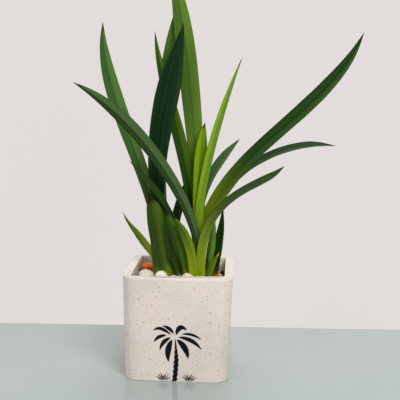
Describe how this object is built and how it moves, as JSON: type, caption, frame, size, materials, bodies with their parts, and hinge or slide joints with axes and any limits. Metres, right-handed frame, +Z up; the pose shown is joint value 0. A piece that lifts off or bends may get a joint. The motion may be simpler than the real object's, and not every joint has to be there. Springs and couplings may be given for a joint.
{
  "type": "potted agave",
  "caption": "Strap-leaved potted plant: arching pointed leaves in a square speckled glazed pot with a palm print, dressed with white and orange pebbles.",
  "frame": {"origin": "centre of the pot's flat underside", "axes": "+Z up along the plant's height; the decorated front face of the pot faces -Y; +X to the right seen from the front"},
  "size_m": [0.1975, 0.08, 0.3008],
  "materials": {
    "pot": "satin cream glaze with fine grey-brown speckles",
    "soil": "matte crumbly soil",
    "stem": "matte pale green plant tissue",
    "leaf_dark": "waxy dark green leaf",
    "leaf_green": "waxy mid green leaf",
    "leaf_bright": "waxy yellow-green leaf",
    "pebble_white": "smooth off-white stone",
    "pebble_orange": "smooth orange-red stone"
  },
  "bodies": {
    "root": {"leaf_back_cross": "leaf_dark", "leaf_behind_dark": "leaf_green", "leaf_bright": "leaf_bright", "leaf_centre_left": "leaf_green", "leaf_dark_broad": "leaf_dark", "leaf_front_broad": "leaf_green", "leaf_front_centre": "leaf_green", "leaf_front_dried_tip": "leaf_green", "leaf_front_sliver": "leaf_dark", "leaf_heart": "leaf_bright", "leaf_left_arching": "leaf_green", "leaf_left_back": "leaf_green", "leaf_left_low": "leaf_dark", "leaf_left_small": "leaf_bright", "leaf_right_droop_back": "leaf_green", "leaf_right_droop_front": "leaf_green", "leaf_right_long": "leaf_dark", "leaf_right_short_back": "leaf_green", "leaf_right_upright_dark": "leaf_dark", "leaf_right_upright_pale": "leaf_green", "leaf_right_yellow_tip": "leaf_bright", "leaf_tall": "leaf_bright", "pebble_orange_01": "pebble_orange", "pebble_orange_02": "pebble_orange", "pebble_orange_03": "pebble_orange", "pebble_orange_04": "pebble_orange", "pebble_white_01": "pebble_white", "pebble_white_02": "pebble_white", "pebble_white_03": "pebble_white", "pebble_white_04": "pebble_white", "pebble_white_05": "pebble_white", "pebble_white_06": "pebble_white", "pebble_white_07": "pebble_white", "pebble_white_08": "pebble_white", "pebble_white_09": "pebble_white", "pebble_white_10": "pebble_white", "pebble_white_11": "pebble_white", "pebble_white_12": "pebble_white", "pebble_white_13": "pebble_white", "pebble_white_14": "pebble_white", "pebble_white_15": "pebble_white", "pebble_white_16": "pebble_white", "pebble_white_17": "pebble_white", "pebble_white_18": "pebble_white", "pebble_white_19": "pebble_white", "pebble_white_20": "pebble_white", "pebble_white_21": "pebble_white", "pebble_white_22": "pebble_white", "pot": "pot", "soil": "soil", "stem_front": "stem", "stem_left": "stem", "stem_main": "stem", "stem_right": "stem"}
  },
  "joints": []
}
